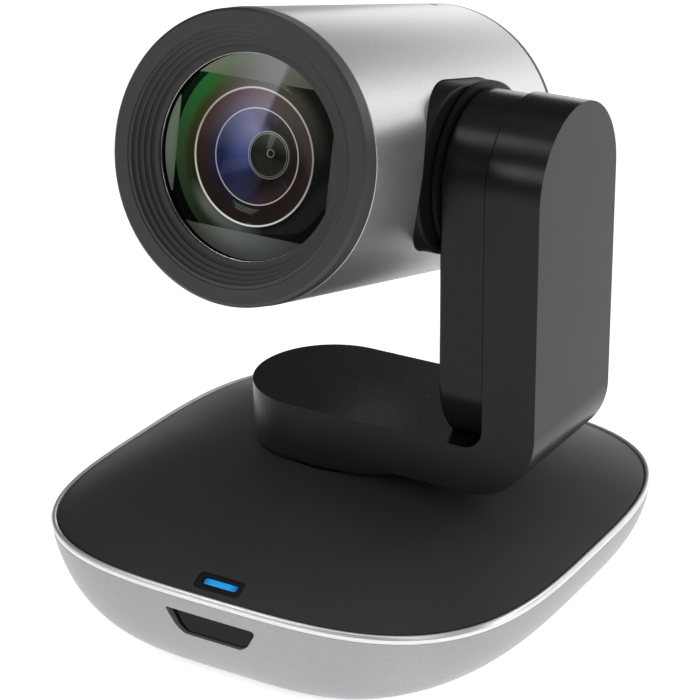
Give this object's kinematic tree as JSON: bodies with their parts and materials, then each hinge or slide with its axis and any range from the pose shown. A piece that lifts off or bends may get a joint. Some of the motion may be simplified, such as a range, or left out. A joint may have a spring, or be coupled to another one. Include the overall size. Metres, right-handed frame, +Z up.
{
  "type": "pan-tilt-zoom conference camera",
  "caption": "Motorised pan-tilt-zoom camera: round lens head tilting on an L-shaped arm that pans on a domed rounded-square base with a silver bowl, status light and remote window.",
  "frame": {"origin": "on the pan axis at the level of the feet", "axes": "+Z up along the pan axis, the base's front and the lens face -Y, the upright of the arm is on +X"},
  "size_m": [0.1306, 0.1306, 0.1562],
  "materials": {
    "satin_silver": "satin metallic paint, fine flake",
    "bright_trim": "bright satin plating",
    "matte_black": "fine matt texture",
    "gloss_black": "semi-gloss moulded",
    "charcoal": "matt charcoal",
    "tube_silver": "fine satin metallic",
    "clear_glass": "coated optical glass",
    "smoked_window": "polished smoked plastic",
    "blue_light": "diffusing light pipe",
    "circuit_board": "solder mask",
    "chip_black": "moulded package",
    "brass": "turned",
    "rubber": "matt",
    "zinc_steel": "zinc plated",
    "bearing_plastic": "self-lubricating polymer",
    "gear_plastic": "acetal",
    "ribbon": "flat cable"
  },
  "bodies": {
    "base": {"base_bowl": "satin_silver", "rim_trim_ring": "bright_trim", "base_top_cover": "matte_black", "base_plate": "matte_black", "rubber_feet": "rubber", "tripod_insert": "brass", "ir_window": "smoked_window", "ir_receiver": "smoked_window", "led_bezel": "gloss_black", "led_light_bar": "blue_light", "front_board": "circuit_board", "main_board": "circuit_board", "board_chips": "chip_black", "power_jack": "gloss_black", "usb_port": "zinc_steel", "rear_port_frame": "charcoal", "ballast_plate": "zinc_steel", "pan_motor": "zinc_steel", "pan_motor_bracket": "zinc_steel", "pan_bearing_holder": "zinc_steel", "pan_bushing": "bearing_plastic", "pan_home_sensor": "chip_black", "base_screws": "zinc_steel"},
    "pan_pinion_shaft": {"pan_pinion": "gear_plastic"},
    "arm": {"turntable": "matte_black", "pan_shaft": "zinc_steel", "pan_gear": "gear_plastic", "arm_frame": "zinc_steel", "arm_shell": "gloss_black", "arm_inner_pod": "gloss_black", "tilt_hub_ring": "gloss_black", "tilt_bushing": "bearing_plastic", "tilt_motor": "zinc_steel", "arm_board": "circuit_board", "arm_ribbon": "ribbon", "arm_screws": "zinc_steel"},
    "tilt_pinion_shaft": {"tilt_pinion": "gear_plastic"},
    "head": {"head_tube": "tube_silver", "rear_cap": "matte_black", "front_bezel": "charcoal", "cover_glass": "clear_glass", "tilt_saddle": "gloss_black", "tilt_shaft": "zinc_steel", "tilt_gear": "gear_plastic", "lens_barrel": "charcoal", "front_lens": "clear_glass", "block_frame": "charcoal", "guide_rods": "zinc_steel", "image_sensor": "chip_black", "sensor_board": "circuit_board", "head_board": "circuit_board", "zoom_motor": "zinc_steel", "focus_motor": "zinc_steel", "head_screws": "charcoal"},
    "zoom_group": {"zoom_carrier": "charcoal", "zoom_lens": "clear_glass"},
    "zoom_lead_screw": {"zoom_screw": "zinc_steel"},
    "focus_group": {"focus_carrier": "charcoal"},
    "focus_lead_screw": {"focus_screw": "zinc_steel"}
  },
  "joints": [
    {"name": "pan", "type": "hinge", "parent": "base", "child": "arm", "pos_m": [0, 0, 0.03], "axis": [0, 0, 1], "range_deg": [-130, 130]},
    {"name": "pan_pinion_spin", "type": "hinge", "parent": "base", "child": "pan_pinion_shaft", "pos_m": [0, -0.028, 0.019], "axis": [0, 0, 1], "range_deg": [-521, 521]},
    {"name": "tilt", "type": "hinge", "parent": "arm", "child": "head", "pos_m": [0.035, 0, 0.1135], "axis": [-1, 0, 0], "range_deg": [-63, 67]},
    {"name": "tilt_pinion_spin", "type": "hinge", "parent": "arm", "child": "tilt_pinion_shaft", "pos_m": [0.041, 0, 0.0935], "axis": [-1, 0, 0], "range_deg": [-213, 213]},
    {"name": "zoom", "type": "slide", "parent": "head", "child": "zoom_group", "axis": [0, 0.974, -0.2267], "range_m": [-0.003, 0.014]},
    {"name": "zoom_screw_spin", "type": "hinge", "parent": "head", "child": "zoom_lead_screw", "pos_m": [0.013, -0.00192, 0.12729], "axis": [0, 0.974, -0.2267], "range_deg": [-181, 841]},
    {"name": "focus", "type": "slide", "parent": "head", "child": "focus_group", "axis": [0, 0.974, -0.2267], "range_m": [-0.0025, 0.0025]},
    {"name": "focus_screw_spin", "type": "hinge", "parent": "head", "child": "focus_lead_screw", "pos_m": [-0.013, 0.00192, 0.09971], "axis": [0, 0.974, -0.2267], "range_deg": [-226, 226]}
  ],
  "couplings": [
    {"joint": "pan_pinion_spin", "follows": "pan", "ratio": -4},
    {"joint": "tilt_pinion_spin", "follows": "tilt", "ratio": -3.1667},
    {"joint": "zoom_screw_spin", "follows": "zoom", "rad_per_m": 1047.2},
    {"joint": "focus_screw_spin", "follows": "focus", "rad_per_m": 1570.8}
  ]
}
